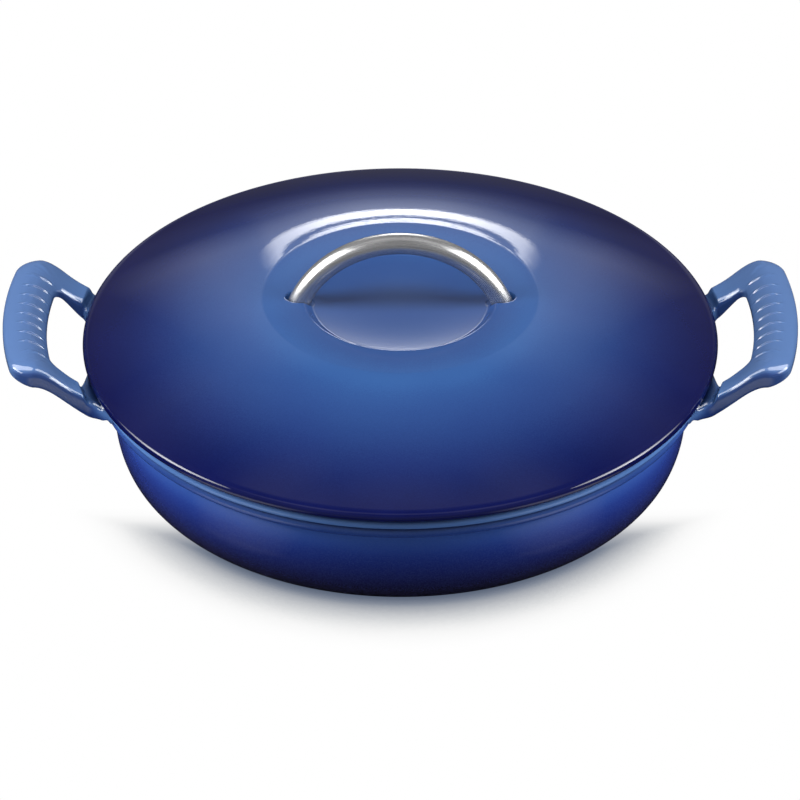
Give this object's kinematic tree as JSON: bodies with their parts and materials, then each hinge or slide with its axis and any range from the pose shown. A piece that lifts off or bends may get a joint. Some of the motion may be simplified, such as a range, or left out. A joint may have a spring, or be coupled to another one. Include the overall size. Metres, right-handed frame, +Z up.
{
  "type": "shallow casserole with lid",
  "caption": "Round shallow casserole of enamelled cast iron with ribbed loop handles and a domed lift-off lid carrying an arched steel bar handle.",
  "frame": {"origin": "centre of the pot's flat base, which is also the bottom centre of the bounding box", "axes": "+Z up along the pot's axis, +X along the line through both side handles, +Y to the back; the front of the picture looks along +Y"},
  "size_m": [0.3874, 0.31, 0.1268],
  "materials": {
    "blue_enamel": "glossy enamel, light blue at the rim shading to near black at the base",
    "brushed_bar": "brushed along the arch",
    "fixing_steel": "plain machined",
    "seal": "matt silicone"
  },
  "bodies": {
    "pot": {"pot_body": "blue_enamel"},
    "lid": {"lid": "blue_enamel", "lid_handle": "brushed_bar", "left_seal_washer": "seal", "left_handle_washer": "fixing_steel", "left_handle_screw": "fixing_steel", "right_seal_washer": "seal", "right_handle_washer": "fixing_steel", "right_handle_screw": "fixing_steel"}
  },
  "joints": [
    {"name": "lid_lift", "type": "slide", "parent": "pot", "child": "lid", "axis": [0, 0, 1], "range_m": [0, 0.15]}
  ]
}
